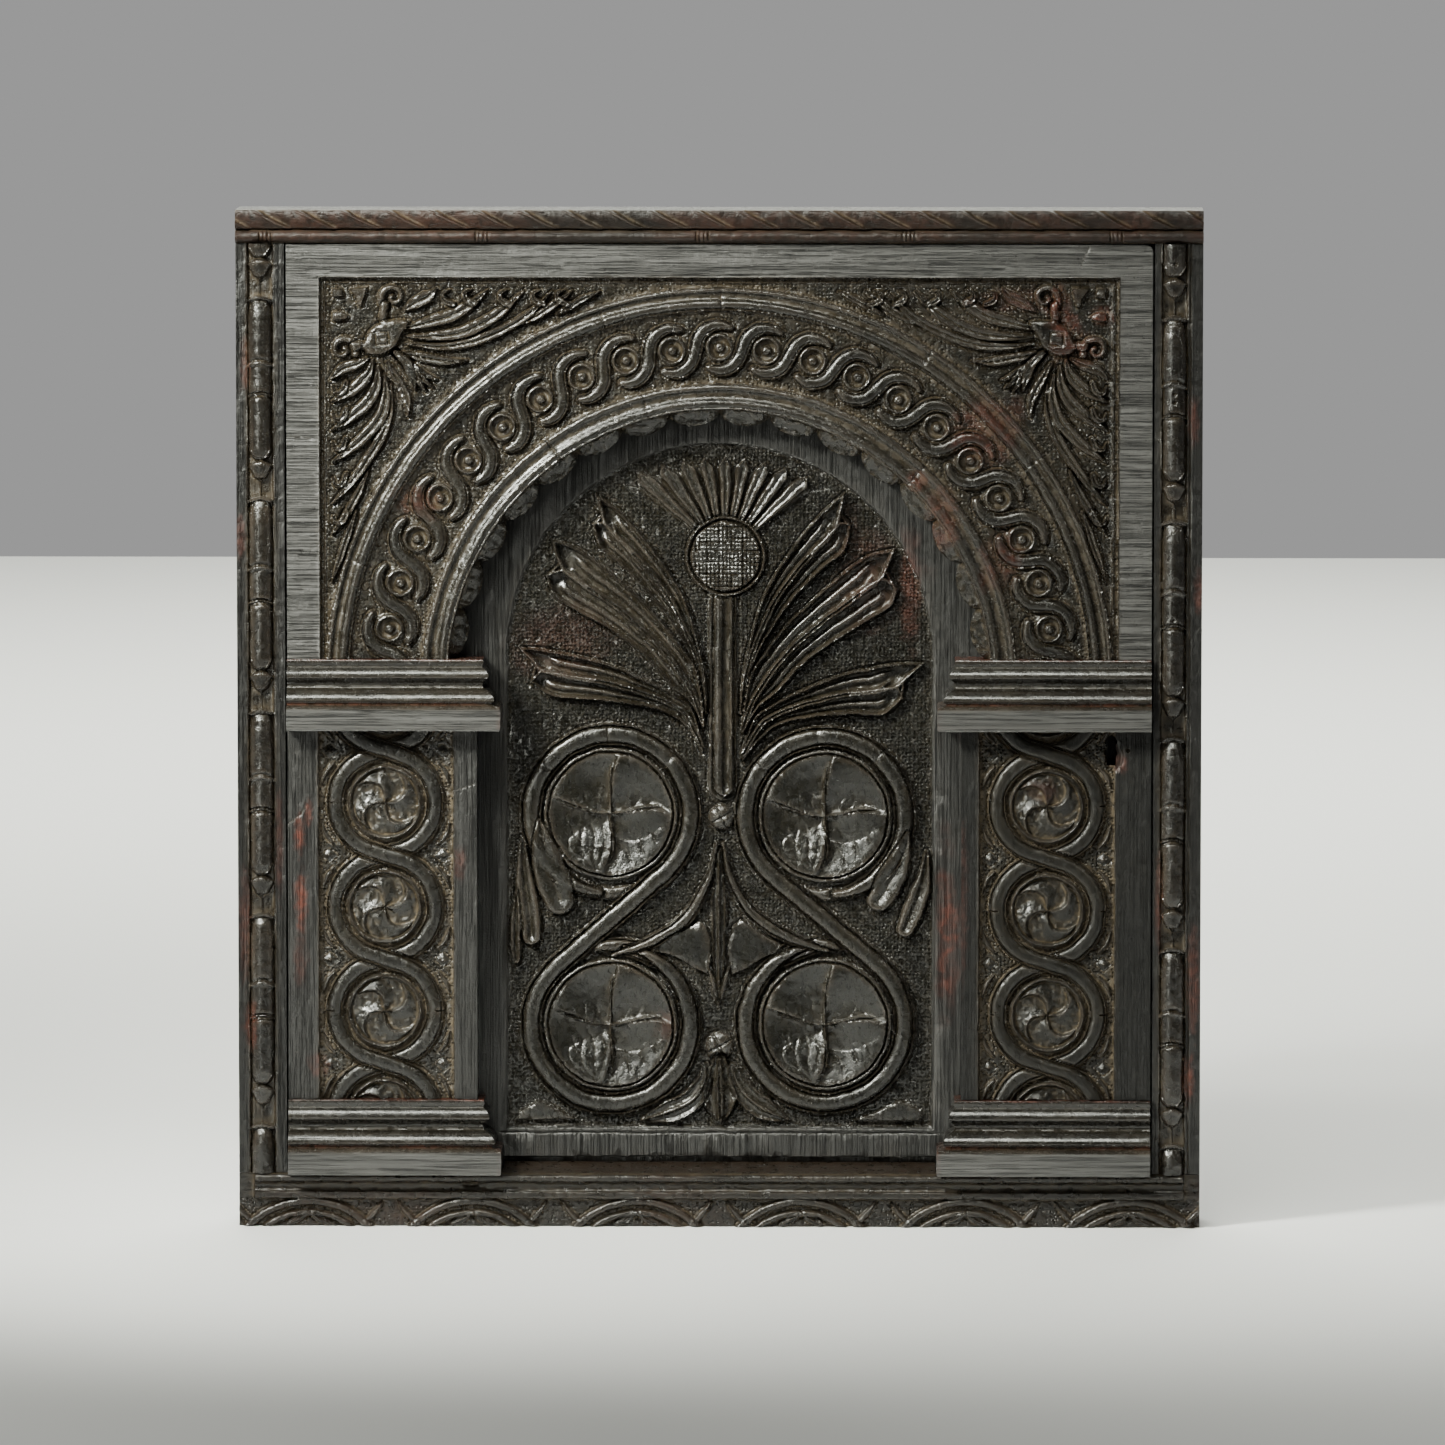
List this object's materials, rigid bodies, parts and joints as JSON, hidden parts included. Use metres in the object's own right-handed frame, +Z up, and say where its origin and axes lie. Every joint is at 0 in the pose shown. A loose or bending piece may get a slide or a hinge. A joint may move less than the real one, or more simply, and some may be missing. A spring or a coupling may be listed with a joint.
{
  "type": "carved oak wall panel",
  "caption": "Square carved oak wall panel: a round-arched arcade with moulded imposts and bases over a relief of leaves, discs and straps, in a beaded and gadrooned frame.",
  "frame": {"origin": "middle of the back, which lies against the wall or the carcass behind", "axes": "+Z up, +X to the right as seen from the carved face, -Y out of the carved face, +Y out of the back"},
  "size_m": [0.702, 0.068, 0.743],
  "materials": {
    "panel_oak": "old dark oak, waxed over the carving, with pale dust in the punched ground",
    "arch_oak": "old dark oak, waxed, grey sheen on the flat borders and rings",
    "pilaster_oak": "old dark oak, waxed, borders rubbed to red-brown in places",
    "block_oak": "old dark oak, polished by handling, red-brown along the edges",
    "frame_oak": "old red-brown oak, waxed, dry grain on the flats"
  },
  "bodies": {
    "root": {"centre_panel": "panel_oak", "arch_board": "arch_oak", "left_pilaster": "pilaster_oak", "right_pilaster": "pilaster_oak", "left_impost": "block_oak", "right_impost": "block_oak", "left_base": "block_oak", "right_base": "block_oak", "left_stile": "frame_oak", "right_stile": "frame_oak", "top_rail": "frame_oak", "bottom_rail": "frame_oak"}
  },
  "joints": []
}
